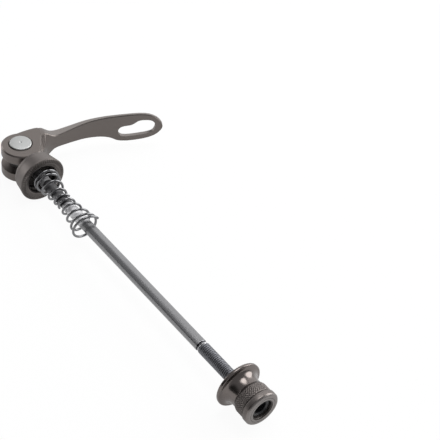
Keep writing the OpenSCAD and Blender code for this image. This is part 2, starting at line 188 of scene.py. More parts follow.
# %% [markdown]
# Metal shows its surroundings more than its own colour. Large soft lamps give broad pale
# bands on the round parts. They are kept at a plain level, at which a colour renders about
# as it is written. The panel on the lever's side is small and stands low, so that it lights
# the lever and leaves the rod's dark band alone.

# %% Lamps
LAMPS = {
    # name: shape, place in metres, size across, power in watts
    "far_round": ("DISK", (0.38, 1.74, 0.90), 1.70, 32.0),
    "overhead_round": ("DISK", (-0.17, 0.27, 1.95), 1.20, 17.0),
    "left_panel": ("SQUARE", (-1.05, 1.24, 0.84), 2.00, 12.0),
    "lever_side_panel": ("SQUARE", (-1.80, -0.80, 0.30), 0.70, 7.0),
}


def softbox(name, shape, place, across, power):
    """An area lamp at a place, turned to the middle of the part."""
    data = bpy.data.lights.new(name, "AREA")
    data.shape = shape
    data.size = across
    data.energy = power
    lamp = new_object(name, data)
    middle = (cad_low + cad_high) / 2
    lamp.location = Vector(place)
    lamp.rotation_mode = "QUATERNION"
    lamp.rotation_quaternion = (middle - lamp.location).to_track_quat("-Z", "Y")
    return lamp


for lamp_name, (shape, place, across, power) in LAMPS.items():
    softbox(lamp_name, shape, place, across, power)
print("lamps:", list(LAMPS))

# %% [markdown]
# Between the lamps the metal shows the room. The room is a middle grey, and its side towards
# -Y is nearly black, as a photographer's dark board would make it. That dark side is what
# the nut's neck mirrors, and it gives the neck its dark band.

# %% Room with a dark side
WORLD_COLOUR = (0.35, 0.35, 0.36, 1.0)
FLAG_COLOUR = (0.05, 0.05, 0.05, 1.0)
FLAG_EDGE = (-0.62, -0.86)
# places of the inputs A and B and of the result among a Mix node's sockets
MIX_SOCKETS = {"RGBA": (6, 7, 2), "FLOAT": (2, 3, 0)}


def dark_sided_room():
    """Colour = mix(world, flag, share), share rising as direction Y passes over the edge."""
    world = bpy.data.worlds.new("studio")
    world.use_nodes = True
    tree = world.node_tree
    room = tree.nodes["Background"]
    room.inputs["Strength"].default_value = 1.0
    direction = tree.nodes.new("ShaderNodeTexCoord")
    parts = tree.nodes.new("ShaderNodeSeparateXYZ")
    tree.links.new(direction.outputs["Generated"], parts.inputs[0])
    share = tree.nodes.new("ShaderNodeMapRange")
    share.inputs["From Min"].default_value = FLAG_EDGE[0]
    share.inputs["From Max"].default_value = FLAG_EDGE[1]
    tree.links.new(parts.outputs["Y"], share.inputs["Value"])
    mix = tree.nodes.new("ShaderNodeMix")
    mix.data_type = "RGBA"
    before, after, result = MIX_SOCKETS["RGBA"]
    mix.inputs[before].default_value = WORLD_COLOUR
    mix.inputs[after].default_value = FLAG_COLOUR
    tree.links.new(share.outputs[0], mix.inputs[0])
    tree.links.new(mix.outputs[result], room.inputs["Color"])
    return world


bpy.context.scene.world = dark_sided_room()
bpy.context.scene.view_settings.view_transform = "Standard"
print("room colour", WORLD_COLOUR[:3], "and its dark side", FLAG_COLOUR[:3])

# %% [markdown]
# Turned and milled metal is never quite even. A tool leaves fine marks that follow the
# turning, handling leaves faint cloudy patches and scratches where the gloss changes, and
# edges wear brighter. Zones of a turned piece take a colour of their own; most of them are
# painted light and shade, the rest is the metal's own tone. A face that looks up is painted
# lighter, a painted highlight. Each of these effects is one node group with named sockets,
# placed in a material with its own numbers. A group gives out a mask, a height or a gloss,
# and never a finished surface. Four small functions serve all five groups.

# %% Tools for node groups
GROUPS = {}


def new_group(name, inputs, outputs):
    """An empty shader node group with float inputs (name, value) and named float outputs."""
    group = bpy.data.node_groups.new(name, "ShaderNodeTree")
    for label, value in inputs:
        socket = group.interface.new_socket(
            name=label, in_out="INPUT", socket_type="NodeSocketFloat"
        )
        socket.default_value = value
    for label in outputs:
        group.interface.new_socket(name=label, in_out="OUTPUT", socket_type="NodeSocketFloat")
    start = group.nodes.new("NodeGroupInput")
    end = group.nodes.new("NodeGroupOutput")
    return group, start.outputs, end.inputs


def split(group, vector):
    """The X, Y and Z sockets of a vector socket."""
    parts = group.nodes.new("ShaderNodeSeparateXYZ")
    group.links.new(vector, parts.inputs[0])
    return parts.outputs["X"], parts.outputs["Y"], parts.outputs["Z"]


def distance_from_x(group, y, z):
    """sqrt(y^2 + z^2), as Math nodes."""
    squares = [math_node(group, "MULTIPLY", part, part) for part in (y, z)]
    return math_node(group, "SQRT", math_node(group, "ADD", *squares))


def held(group, value):
    """max(0, min(value, 1)), as Math nodes."""
    return math_node(group, "MAXIMUM", math_node(group, "MINIMUM", value, 1.0), 0.0)


print("tools: new_group, split, distance_from_x, held")

# %% [markdown]
# The first two groups are about gloss and grain. Turning marks are a noise that changes
# along X and with the distance from X but not round it, so that it makes rings. Handling
# adds a cloudy noise, and a second noise stretched so far that it turns into thin lines.

# %% Turning marks and handling
MARKS_DETAIL = 2.0
PATCH_SCALE, PATCH_DETAIL = 220.0, 4.0
SCRATCH_STRETCH = (3000.0, 260.0, 3000.0)
SCRATCH_TURN = (0.2, 0.1, 0.5)
SCRATCH_DETAIL = 1.0
SCRATCH_LEVEL, SCRATCH_GAIN = 0.66, 8.0


def turning_marks_group():
    """Fine grooves round the X axis: noise over (distance along X, distance from X)."""
    group, given, result = new_group("turning_marks", [("Grooves per mm", 6.0)], ["Height"])
    where = group.nodes.new("ShaderNodeTexCoord")
    x, y, z = split(group, where.outputs["Object"])
    flat = group.nodes.new("ShaderNodeCombineXYZ")
    group.links.new(x, flat.inputs["X"])
    group.links.new(distance_from_x(group, y, z), flat.inputs["Y"])
    noise = group.nodes.new("ShaderNodeTexNoise")
    noise.inputs["Detail"].default_value = MARKS_DETAIL
    group.links.new(flat.outputs[0], noise.inputs["Vector"])
    scale = math_node(group, "MULTIPLY", given["Grooves per mm"], 1.0 / MM)
    group.links.new(scale, noise.inputs["Scale"])
    group.links.new(noise.outputs["Fac"], result["Height"])
    return group


def handling_group():
    """Roughness = gloss + (cloud - 1 / 2) * patches + thin lines * scratches."""
    group, given, result = new_group(
        "handling", [("Gloss", 0.3), ("Patches", 0.05), ("Scratches", 0.04)], ["Roughness"]
    )
    where = group.nodes.new("ShaderNodeTexCoord")
    cloud = group.nodes.new("ShaderNodeTexNoise")
    cloud.inputs["Scale"].default_value = PATCH_SCALE
    cloud.inputs["Detail"].default_value = PATCH_DETAIL
    group.links.new(where.outputs["Object"], cloud.inputs["Vector"])
    stretch = group.nodes.new("ShaderNodeMapping")
    stretch.inputs["Scale"].default_value = SCRATCH_STRETCH
    stretch.inputs["Rotation"].default_value = SCRATCH_TURN
    group.links.new(where.outputs["Object"], stretch.inputs["Vector"])
    scratch = group.nodes.new("ShaderNodeTexNoise")
    scratch.inputs["Scale"].default_value = 1.0
    scratch.inputs["Detail"].default_value = SCRATCH_DETAIL
    group.links.new(stretch.outputs[0], scratch.inputs["Vector"])
    thin = math_node(group, "SUBTRACT", scratch.outputs["Fac"], SCRATCH_LEVEL)
    thin = held(group, math_node(group, "MULTIPLY", thin, SCRATCH_GAIN))
    patch = math_node(group, "SUBTRACT", cloud.outputs["Fac"], 0.5)
    patch = math_node(group, "MULTIPLY", patch, given["Patches"])
    line = math_node(group, "MULTIPLY", thin, given["Scratches"])
    rough = math_node(group, "ADD", given["Gloss"], math_node(group, "ADD", patch, line))
    group.links.new(rough, result["Roughness"])
    return group


GROUPS["turning_marks"] = turning_marks_group()
GROUPS["handling"] = handling_group()
print("node groups:", list(GROUPS))

# %% [markdown]
# The other three groups are masks, numbers between 0 and 1 that say where something is. A
# zone lies between two places along X and two radii. The painted top light marks what looks
# up along Z, where a lighter colour is painted as a highlight. An edge is found by rounding
# the normal a little and seeing how far that turns it.

# %% Masks for zones, painted top light and worn edges
TOP_LIGHT_GAIN = 10.0
EDGE_SAMPLES = 6


def turned_zone_group():
    """Mask of a zone of a turned piece: 1 between two places along X and two radii, in mm."""
    inputs = [("From X", 0.0), ("To X", 1.0), ("From radius", 0.0), ("To radius", 99.0)]
    group, given, result = new_group("turned_zone", [*inputs, ("Fade", 0.2)], ["Mask"])
    where = group.nodes.new("ShaderNodeTexCoord")
    x, y, z = split(group, where.outputs["Object"])
    along = math_node(group, "MULTIPLY", x, 1.0 / MM)
    radius = math_node(group, "MULTIPLY", distance_from_x(group, y, z), 1.0 / MM)
    sides = []
    for value, low, high in ((along, "From X", "To X"), (radius, "From radius", "To radius")):
        for more, less in ((value, given[low]), (given[high], value)):
            beyond = math_node(group, "SUBTRACT", more, less)
            sides.append(math_node(group, "DIVIDE", beyond, given["Fade"]))
    mask = math_node(
        group, "MINIMUM",
        math_node(group, "MINIMUM", sides[0], sides[1]),
        math_node(group, "MINIMUM", sides[2], sides[3]),
    )
    group.links.new(held(group, mask), result["Mask"])
    return group


# A painted highlight: this mask lets faces that look up take a lighter colour, as if lit from above.
def painted_top_light_group():
    """Mask of a painted highlight: faces that look up along Z, beyond a place along Y, in mm."""
    group, given, result = new_group(
        "painted_top_light", [("From Y", 14.0), ("Fade", 4.0), ("Least Z", 0.8)], ["Mask"]
    )
    where = group.nodes.new("ShaderNodeTexCoord")
    place_y = split(group, where.outputs["Object"])[1]
    facing_z = split(group, where.outputs["Normal"])[2]
    beyond = math_node(group, "MULTIPLY", place_y, 1.0 / MM)
    beyond = math_node(group, "SUBTRACT", beyond, given["From Y"])
    beyond = math_node(group, "DIVIDE", beyond, given["Fade"])
    up = math_node(group, "SUBTRACT", facing_z, given["Least Z"])
    up = math_node(group, "MULTIPLY", up, TOP_LIGHT_GAIN)
    group.links.new(held(group, math_node(group, "MINIMUM", beyond, up)), result["Mask"])
    return group


def edge_wear_group():
    """Mask of edges = gain * (1 - rounded normal . plain normal), held between 0 and 1."""
    group, given, result = new_group("edge_wear", [("Radius mm", 0.3), ("Gain", 2.0)], ["Mask"])
    soft = group.nodes.new("ShaderNodeBevel")
    soft.samples = EDGE_SAMPLES
    group.links.new(math_node(group, "MULTIPLY", given["Radius mm"], MM), soft.inputs["Radius"])
    plain = group.nodes.new("ShaderNodeNewGeometry")
    dot = group.nodes.new("ShaderNodeVectorMath")
    dot.operation = "DOT_PRODUCT"
    group.links.new(soft.outputs["Normal"], dot.inputs[0])
    group.links.new(plain.outputs["Normal"], dot.inputs[1])
    turned_by = math_node(group, "SUBTRACT", 1.0, dot.outputs["Value"])
    mask = math_node(group, "MULTIPLY", turned_by, given["Gain"])
    group.links.new(held(group, mask), result["Mask"])
    return group


GROUPS["turned_zone"] = turned_zone_group()
GROUPS["painted_top_light"] = painted_top_light_group()
GROUPS["edge_wear"] = edge_wear_group()
print("node groups:", list(GROUPS))

# %% [markdown]
# Each finish is a Principled material of its own, built from the same groups. It starts
# with one colour and one gloss. Zones, many of them painted light and shade, the upper face
# with its painted highlight and the worn edges are then mixed over that, each by its own
# mask, and the turning marks go into the normal.

# %% How a finish is built
ZONE_SOCKETS = ("From X", "To X", "From radius", "To radius", "Fade")
MARK_DEPTH_MM = 0.01


def blended(tree, mask, before, after):
    """A Mix of two values or colours by a mask; either side is a socket or plain numbers."""
    mix = tree.nodes.new("ShaderNodeMix")
    is_colour = not isinstance(after, float)
    mix.data_type = "RGBA" if is_colour else "FLOAT"
    *sides, result = MIX_SOCKETS[mix.data_type]
    tree.links.new(mask, mix.inputs[0])
    for side, value in zip(sides, (before, after)):
        if isinstance(value, bpy.types.NodeSocket):
            tree.links.new(value, mix.inputs[side])
        else:
            mix.inputs[side].default_value = (*value, 1.0) if is_colour else value
    return mix.outputs[result]


def group_node(tree, name, values):
    """A node that places one of the groups, with its named sockets set to numbers."""
    node = tree.nodes.new("ShaderNodeGroup")
    node.node_tree = GROUPS[name]
    for label, value in values.items():
        node.inputs[label].default_value = value
    return node


def metal(
    name, colour, roughness, patches=0.05, scratches=0.04, marks=0.0, metallic=1.0,
    zones=(), worn_edge=None, upper=None
):
    """A finish: colour, handled gloss, zones with their own colour and gloss, and marks.

    A zone is (from x, to x, from radius, to radius, fade, colour, gloss); its colour may be
    painted light or shade. A worn edge is (radius in mm, gain, colour). The upper face, painted
    lighter as a painted highlight, is (colour, gloss).
    """
    mat = bpy.data.materials.new(name)
    mat.use_nodes = True
    tree = mat.node_tree
    shader = tree.nodes["Principled BSDF"]
    shader.inputs["Base Color"].default_value = (*colour, 1.0)
    shader.inputs["Metallic"].default_value = metallic
    values = {"Gloss": roughness, "Patches": patches, "Scratches": scratches}
    gloss = group_node(tree, "handling", values).outputs["Roughness"]
    tint = colour
    for *limits, zone_colour, zone_gloss in zones:
        values = dict(zip(ZONE_SOCKETS, limits))
        mask = group_node(tree, "turned_zone", values).outputs["Mask"]
        tint = blended(tree, mask, tint, zone_colour)
        gloss = blended(tree, mask, gloss, zone_gloss)
    # painted highlight: the faces that look up take a lighter colour, and a gloss of their own
    if upper:
        painted_top_colour, upper_gloss = upper
        mask = group_node(tree, "painted_top_light", {}).outputs["Mask"]
        tint = blended(tree, mask, tint, painted_top_colour)
        gloss = blended(tree, mask, gloss, upper_gloss)
    if worn_edge:
        radius, gain, edge_colour = worn_edge
        values = {"Radius mm": radius, "Gain": gain}
        mask = group_node(tree, "edge_wear", values).outputs["Mask"]
        tint = blended(tree, mask, tint, edge_colour)
    tree.links.new(gloss, shader.inputs["Roughness"])
    if isinstance(tint, bpy.types.NodeSocket):
        tree.links.new(tint, shader.inputs["Base Color"])
    if marks:
        rings = group_node(tree, "turning_marks", {})
        bump = tree.nodes.new("ShaderNodeBump")
        bump.inputs["Strength"].default_value = marks
        bump.inputs["Distance"].default_value = MARK_DEPTH_MM * MM
        tree.links.new(rings.outputs["Height"], bump.inputs["Height"])
        tree.links.new(bump.outputs["Normal"], shader.inputs["Normal"])
    return mat


print("a zone sets:", ZONE_SOCKETS, "then colour and gloss")

# %% [markdown]
# The lever, the cup and the nut are anodised a warm grey, a thin hard skin over aluminium
# that is satin where it was blasted and glossier where it was turned. The pin is polished
# steel, the rod is drawn steel, the springs are smooth wire, and the washer and the locking
# ring are black and not metallic. The zones follow the pieces along X, and most of them are
# painted light and shade: the rod is painted pale inside the cup's mouth, painted darker
# under the lever side spring, painted pale again under the loose one as a painted highlight,
# painted nearly black in the groove before the thread with a painted glint on its far edge,
# and a cooler grey on the thread. The cup's toothed rim and mouth are painted darker, and so
# are the grooves on either side of the nut's knurl, all as painted shade.

# %% Finishes
ANODISED = (0.150, 0.133, 0.124)
BRIGHT_EDGE = (0.30, 0.275, 0.26)
TURNED_EDGE = (0.3, 1.5, BRIGHT_EDGE)
ANY = (0.0, 99.0)
ROD_TONES_AND_PAINTED_LIGHT = (
    # painted light inside the pin and the cup's mouth, painted shade under the lever side
    # spring, a painted highlight under the loose spring
    (-20.0, 3.4, *ANY, 0.3, (0.60, 0.60, 0.61), 0.60),
    (3.4, 18.0, *ANY, 0.8, (0.20, 0.20, 0.205), 0.45),
    (17.8, 32.0, *ANY, 2.0, (0.72, 0.72, 0.73), 0.56),
    # painted shade in the groove before the thread, a painted glint on its far edge, the thread
    (106.3, 106.95, *ANY, 0.1, (0.03, 0.03, 0.035), 0.15),
    (107.0, 107.7, *ANY, 0.1, (0.34, 0.34, 0.35), 0.15),
    (107.7, 140.0, *ANY, 0.1, (0.170, 0.173, 0.187), 0.42),
)
CUP_PAINTED_SHADE_ZONES = (
    # the toothed rim and the mouth, both painted darker as painted shade
    (-0.7, 0.5, 7.0, 99.0, 0.2, (0.115, 0.104, 0.098), 0.45),
    (-5.2, 0.5, 0.0, 6.75, 0.15, (0.050, 0.046, 0.044), 0.60),
)
NUT_TONES_AND_PAINTED_SHADE = (
    # collar, painted shade in the groove before the knurl, knurl, painted shade in the groove
    # after it, outer end, its two rings
    (134.1, 141.0, *ANY, 0.3, (0.150, 0.134, 0.127), 0.45),
    (133.9, 134.6, *ANY, 0.15, (0.045, 0.040, 0.038), 0.45),
    (134.7, 138.2, *ANY, 0.2, (0.110, 0.098, 0.093), 0.42),
    (138.3, 138.8, *ANY, 0.1, (0.050, 0.045, 0.042), 0.45),
    (141.0, 142.0, *ANY, 0.3, (0.210, 0.194, 0.186), 0.38),
    (141.3, 142.0, 5.15, 5.45, 0.1, (0.06, 0.055, 0.052), 0.45),
    (141.0, 142.0, 3.9, 4.5, 0.1, (0.05, 0.045, 0.042), 0.45),
)
FINISH_NUMBERS = {
    "satin_grey": dict(
        colour=ANODISED, roughness=0.40,
        # upper: the blade's top painted lighter as a painted highlight, and a little glossier
        worn_edge=(0.35, 0.5, BRIGHT_EDGE), upper=((0.215, 0.197, 0.187), 0.34),
    ),
    "blasted_cup": dict(
        colour=(0.163, 0.147, 0.139), roughness=0.50,
        zones=CUP_PAINTED_SHADE_ZONES, worn_edge=TURNED_EDGE,
    ),
    "turned_grey": dict(
        colour=(0.160, 0.141, 0.133), roughness=0.215, marks=0.15,
        zones=NUT_TONES_AND_PAINTED_SHADE, worn_edge=TURNED_EDGE,
    ),
    "polished_pin": dict(colour=(0.41, 0.415, 0.41), roughness=0.46, patches=0.03),
    "drawn_steel": dict(
        colour=(0.235, 0.235, 0.24), roughness=0.29, patches=0.03, scratches=0.0,
        zones=ROD_TONES_AND_PAINTED_LIGHT,
    ),
    "spring_wire": dict(
        colour=(0.19, 0.19, 0.195), roughness=0.12, patches=0.02, scratches=0.02,
    ),
    "bearing_black": dict(colour=(0.03, 0.03, 0.032), roughness=0.5, metallic=0.0),
    "black_nylon": dict(colour=(0.014, 0.014, 0.016), roughness=0.42, metallic=0.0),
}
FINISHES = {name: metal(name, **numbers) for name, numbers in FINISH_NUMBERS.items()}
print("finishes:", list(FINISHES))

# %% [markdown]
# Nearly every surface here is a grid: a profile carried round an axis, or a ring carried
# along a wire. The grid is worked out as one array, and its squares are numbered by array
# sums too. The signed volume of the closed skin tells whether its faces look outwards.

# %% Grid to mesh


def signed_volume(points, triangles):
    """One sixth of the sum of a . (b x c) over all triangles."""
    a, b, c = (points[triangles[:, k]] for k in range(3))
    return float(np.einsum("ij,ij->i", a, np.cross(b, c)).sum() / 6.0)


def skin(name, grid, finish, ring_closed=False, crease=32.0):
    """A closed skin over a grid of points in mm, shaped (rows, columns, 3).

    Each square joins a point to its neighbours in the next row and column. Columns always
    wrap round. Rows wrap as well when ring_closed is true, and are capped at both ends
    otherwise. Edges sharper than the crease angle in degrees stay crisp.
    """
    rows, columns = grid.shape[:2]
    points = grid.reshape(-1, 3)
    i = np.arange(rows if ring_closed else rows - 1)[:, None]
    k = np.arange(columns)[None, :]
    here, over = i * columns, (i + 1) % rows * columns
    right = (k + 1) % columns
    quads = np.stack([here + k, here + right, over + right, over + k], axis=-1).reshape(-1, 4)
    triangles = np.concatenate([quads[:, [0, 1, 2]], quads[:, [0, 2, 3]]])
    caps = []
    if not ring_closed:
        fan = np.arange(1, columns - 1)
        first = np.stack([np.zeros_like(fan), fan + 1, fan], axis=-1)
        last = (rows - 1) * columns + np.stack([np.zeros_like(fan), fan, fan + 1], axis=-1)
        triangles = np.concatenate([triangles, first, last])
        caps = [np.arange(columns)[::-1], (rows - 1) * columns + np.arange(columns)]
    if signed_volume(points - points.mean(axis=0), triangles) < 0.0:
        quads = quads[:, ::-1]
        caps = [cap[::-1] for cap in caps]
    loops = np.concatenate([quads.reshape(-1), *caps])
    sizes = np.concatenate([np.full(len(quads), 4), np.full(len(caps), columns)])
    starts = np.concatenate([[0], np.cumsum(sizes)[:-1]])
    mesh = bpy.data.meshes.new(name)
    mesh.vertices.add(len(points))
    mesh.vertices.foreach_set("co", (points * MM).astype(np.float32).ravel())
    mesh.loops.add(len(loops))
    mesh.loops.foreach_set("vertex_index", loops.astype(np.int32))
    mesh.polygons.add(len(sizes))
    mesh.polygons.foreach_set("loop_start", starts.astype(np.int32))
    mesh.polygons.foreach_set("use_smooth", np.ones(len(sizes), dtype=bool))
    mesh.update(calc_edges=True)
    mesh.validate()
    mesh.set_sharp_from_angle(angle=math.radians(crease))
    mesh.materials.append(FINISHES[finish])
    print(f"{name}: {len(points)} points, {int((sizes - 2).sum())} triangles")
    return new_object(name, mesh)


# %% [markdown]
# The profiles need four operations. One rounds the corners, one carries the profile round
# the X axis, one adds points along its sides, so that the cup's saddle and teeth have
# points to move, and one asks the frame how far a solid reaches.

# %% Profiles
REACH_SHARE = 0.45


def rounded(profile, radius, steps=4, closed=True):
    """The (r, x) profile in mm with each corner replaced by a curve of the given reach.

    A corner P between neighbours A and B becomes the quadratic curve from the point at
    the reach before P to the point at the reach after it, with P as its control point.
    The reach is never more than a set share of either neighbouring side.
    """
    p = np.asarray(profile, dtype=float)
    before, after = np.roll(p, 1, axis=0), np.roll(p, -1, axis=0)
    back, on = before - p, after - p
    back_length = np.linalg.norm(back, axis=1, keepdims=True)
    on_length = np.linalg.norm(on, axis=1, keepdims=True)
    reach = np.minimum(radius, REACH_SHARE * np.minimum(back_length, on_length))
    start, end = p + back / back_length * reach, p + on / on_length * reach
    t = np.linspace(0.0, 1.0, steps + 1)[None, :, None]
    curve = (1 - t) ** 2 * start[:, None] + 2 * t * (1 - t) * p[:, None] + t ** 2 * end[:, None]
    if not closed:
        curve[0], curve[-1] = p[0], p[-1]
    return curve.reshape(-1, 2)


def turned(profile, columns):
    """The profile carried round the X axis: (x, r cos a, r sin a) for each angle a."""
    p = np.asarray(profile, dtype=float)
    a = np.linspace(0.0, 2.0 * math.pi, columns, endpoint=False)
    r, x = p[:, 0, None], p[:, 1, None]
    return np.stack(np.broadcast_arrays(x, r * np.cos(a), r * np.sin(a)), axis=-1)


def resampled(profile, step):
    """The closed profile with extra points, so that no side is longer than the step."""
    starts = np.asarray(profile, dtype=float)
    ends = np.roll(starts, -1, axis=0)
    counts = np.maximum(1, np.ceil(np.linalg.norm(ends - starts, axis=1) / step)).astype(int)
    which = np.repeat(np.arange(len(starts)), counts)
    share = np.concatenate([np.arange(c) / c for c in counts])[:, None]
    return starts[which] * (1 - share) + ends[which] * share


def extent(node):
    """Lowest and highest corner of a piece of the frame, in mm."""
    low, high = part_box(node)
    return np.array(low) / MM, np.array(high) / MM


print("cup reaches from", extent("cup")[0].round(2), "to", extent("cup")[1].round(2))

# %% [markdown]
# The rod is drawn steel wire with a rolled thread. A rolled thread is one helical ridge,
# so its height depends on x / pitch minus angle / full turn. Worked out on a grid with
# twelve rows to each turn, the ridge comes out as a true helix and not as a stack of rings.
# A shallow groove runs round the rod just before the thread.

# %% Rod with its helical thread
PITCH = 0.8
ROWS_PER_TURN = 12
THREAD_START = 106.2
GROOVE_END = 107.2
GROOVE_DEPTH = 0.22
GROOVE_SLOPE = 0.5
RUNOUT = 0.6
THREAD_DEPTH = 0.38
CREST_FROM, CREST_RISE = 0.14, 0.66
TIP_SHARE = 1.1
ROD_RADIUS = 4.75 / 2
ROD_CORNER = 0.4
ROD_COLUMNS = 72
ROD_END_RADIUS = 0.05
ROD_CREASE = 50.0
FIRST_ROW, LAST_ROW = 0.05, 0.001


def threaded_rod():
    """Radius = root + depth * crest, crest a flat-topped wave of x / pitch - a / 2 pi."""
    low, high = extent("rod")
    crest_radius = high[1]
    root_radius = crest_radius - THREAD_DEPTH
    outline = [(ROD_END_RADIUS, low[0]), (ROD_RADIUS, low[0]), (ROD_RADIUS, THREAD_START)]
    plain = rounded(outline, ROD_CORNER, closed=False)
    rows = np.arange(THREAD_START + FIRST_ROW, high[0] - LAST_ROW, PITCH / ROWS_PER_TURN)
    x = np.concatenate([plain[:, 1], rows, [high[0], high[0]]])
    r = np.concatenate([plain[:, 0], np.full(len(x) - len(plain), crest_radius)])
    grid = turned(np.stack([r, x], axis=-1), ROD_COLUMNS)
    a = np.linspace(0.0, 1.0, ROD_COLUMNS, endpoint=False)[None, :]
    wave = np.abs((x[:, None] / PITCH - a) % 1.0 * 2.0 - 1.0)
    crest = np.clip((wave - CREST_FROM) / CREST_RISE, 0.0, 1.0)
    fade = np.clip((x - GROOVE_END) / RUNOUT, 0.0, 1.0)[:, None]
    cut = np.clip((x - THREAD_START) / GROOVE_SLOPE, 0.0, 1.0)[:, None]
    groove = ROD_RADIUS - GROOVE_DEPTH * cut
    tip = np.clip((high[0] - x) / (TIP_SHARE * THREAD_DEPTH), 0.0, 1.0)[:, None]
    ridge = root_radius + THREAD_DEPTH * np.minimum(crest, tip)
    threaded = groove * (1 - fade) + ridge * fade
    radius = np.where((x > THREAD_START)[:, None], threaded, r[:, None])
    radius[-1] = ROD_END_RADIUS
    scale = radius / r[:, None]
    grid[..., 1:] *= scale[..., None]
    return skin("steel_rod", grid, "drawn_steel", crease=ROD_CREASE)


steel_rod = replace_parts(threaded_rod(), "rod")
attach(steel_rod, "rod_and_pin")

# %% [markdown]
# The pivot pin is turned steel, polished on its domed ends, with the small mark that the
# lathe's centre leaves. Its profile goes from one centre mark over the dome and down the
# side to the other dome.

# %% Pivot pin
PIN_DOME = 0.45
PIN_DOME_ROWS = 14
PIN_MARK_RADIUS = 0.55
PIN_MARK_DEPTH = 0.35
PIN_MARK_TIP = 0.02
PIN_CORNER = 0.12
PIN_COLUMNS = 96


def pivot_pin():
    """A profile turned about Z: height falls with the square of the distance from the middle."""
    low, high = extent("pivot_pin")
    middle = (low + high) / 2
    radius, half = (high[0] - low[0]) / 2, high[2]
    dome_radius = radius - PIN_DOME / 2
    r = np.linspace(PIN_MARK_RADIUS, dome_radius, PIN_DOME_ROWS)
    share = (r - PIN_MARK_RADIUS) / (dome_radius - PIN_MARK_RADIUS)
    mark = [(PIN_MARK_TIP, half - PIN_MARK_DEPTH)]
    top = np.stack([r, half - PIN_DOME / 2 * share ** 2], axis=-1)
    upper = np.concatenate([mark, top, [(radius, half - PIN_DOME), (radius, 0.0)]])
    profile = np.concatenate([upper, (upper * (1, -1))[-2::-1]])
    profile = rounded(profile, PIN_CORNER, closed=False)
    grid = turned(profile, PIN_COLUMNS)[..., [1, 2, 0]]
    grid[..., :2] += middle[:2]
    return skin("polished_pivot_pin", grid, "polished_pin")


polished_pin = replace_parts(pivot_pin(), "pivot_pin")
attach(polished_pin, "rod_and_pin")

# %% [markdown]
# The springs are wound from round wire, wide at one end and narrow at the end that touches
# the rod. The middle line of the wire is a left handed helix whose radius and pitch change
# along it, its coils lean a little on the rod, and its wide end stands off the axis. A
# small circle is carried along that line.

# %% Conical springs
WIRE_RADIUS = 0.5
WIRE_SIDES = 16
SPRING_NARROW = 6.02 / 2
SPRING_TURNS = 4.5
ROWS_PER_COIL = 64
SPRING_TILT = math.tan(math.radians(5.5))
LEAN_ANGLE = math.radians(37)
SWING_SHARE = 0.045
SPRINGS = {
    # node: wide radius, wide end x, length along x, shift off the axis, belly, crowding
    "lever_spring": (9.9 / 2, 0.75, 14.35, 0.9, 2.5, 0.115),
    "nut_spring": (11.4 / 2, 32.8, -16.4, -0.6, 1.3, 0.045),
}


def conical_spring(name, node):
    """Wire centre at share u: angle in step with u, radius as (1 - u^belly)^(belly + 1 / 2).

    Along the rod it goes in step with u less two sine waves, which crowd the wide coils.
    """
    wide, wide_x, span, shift, belly, crowding = SPRINGS[node]
    u = np.linspace(0.0, 1.0, int(SPRING_TURNS * ROWS_PER_COIL) + 1)[:, None]
    turn = SPRING_TURNS * 2 * math.pi * u
    a = LEAN_ANGLE + (math.pi - turn if span > 0 else turn)
    cone = (1 - u ** belly) ** (belly + 0.5)
    r = SPRING_NARROW + (wide - SPRING_NARROW) * cone
    along = u - SWING_SHARE * np.sin(2 * math.pi * u) - crowding * np.sin(math.pi * u)
    x = wide_x + span * along + r * SPRING_TILT * np.cos(a - LEAN_ANGLE)
    around = np.linspace(0.0, 2 * math.pi, WIRE_SIDES, endpoint=False)[None, :]
    ring = r + WIRE_RADIUS * np.cos(around)
    y = ring * np.cos(a) + shift * cone * math.cos(LEAN_ANGLE)
    z = ring * np.sin(a) + shift * cone * math.sin(LEAN_ANGLE)
    grid = np.stack([x + WIRE_RADIUS * np.sin(around), y, z], axis=-1)
    return skin(name, grid, "spring_wire")


wire_at_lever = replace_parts(conical_spring("wire_spring_at_lever", "lever_spring"), "lever_spring")
wire_at_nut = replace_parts(conical_spring("wire_spring_at_nut", "nut_spring"), "nut_spring")
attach(wire_at_lever, "cup")
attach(wire_at_nut, "nut_spring")

# %% [markdown]
# The cup and the nut both clamp with a ring of radial teeth. A tooth groove has the same
# width all the way out, so its depth at a point depends on the distance across the groove,
# which is the radius times the angle from the groove's middle. The grooves are pressed into
# the turned profile by moving grid points along X.

# %% Toothed clamping faces
TOOTH_COUNT = 60
TOOTH_DEPTH = 0.26


def press_teeth(grid, face_x, into, inner):
    """Moves a point in the band to at least depth - distance across the groove behind the face."""
    x, y, z = grid[..., 0], grid[..., 1], grid[..., 2]
    r = np.hypot(y, z)
    step = 2 * math.pi / TOOTH_COUNT
    off = np.abs((np.arctan2(z, y) + step / 2) % step - step / 2) * r
    behind = (x - face_x) * into
    band = (behind < TOOTH_DEPTH) & (r > inner)
    groove = np.maximum(behind, TOOTH_DEPTH - off)
    grid[..., 0] = np.where(band, face_x + into * groove, x)
    return grid


print("teeth on each clamping face:", TOOTH_COUNT, "with grooves of", TOOTH_DEPTH, "mm")

# %% [markdown]
# The cup is a shallow bell. Its back is rounded, its rim is a straight band, and inside it
# has a mouth and a seat for the spring. The back also has a shallow saddle, cut by a
# cylinder about a line beside the pivot's, in which the cam rocks. A point inside that
# cylinder is moved along X to the cylinder's surface, in one array operation.

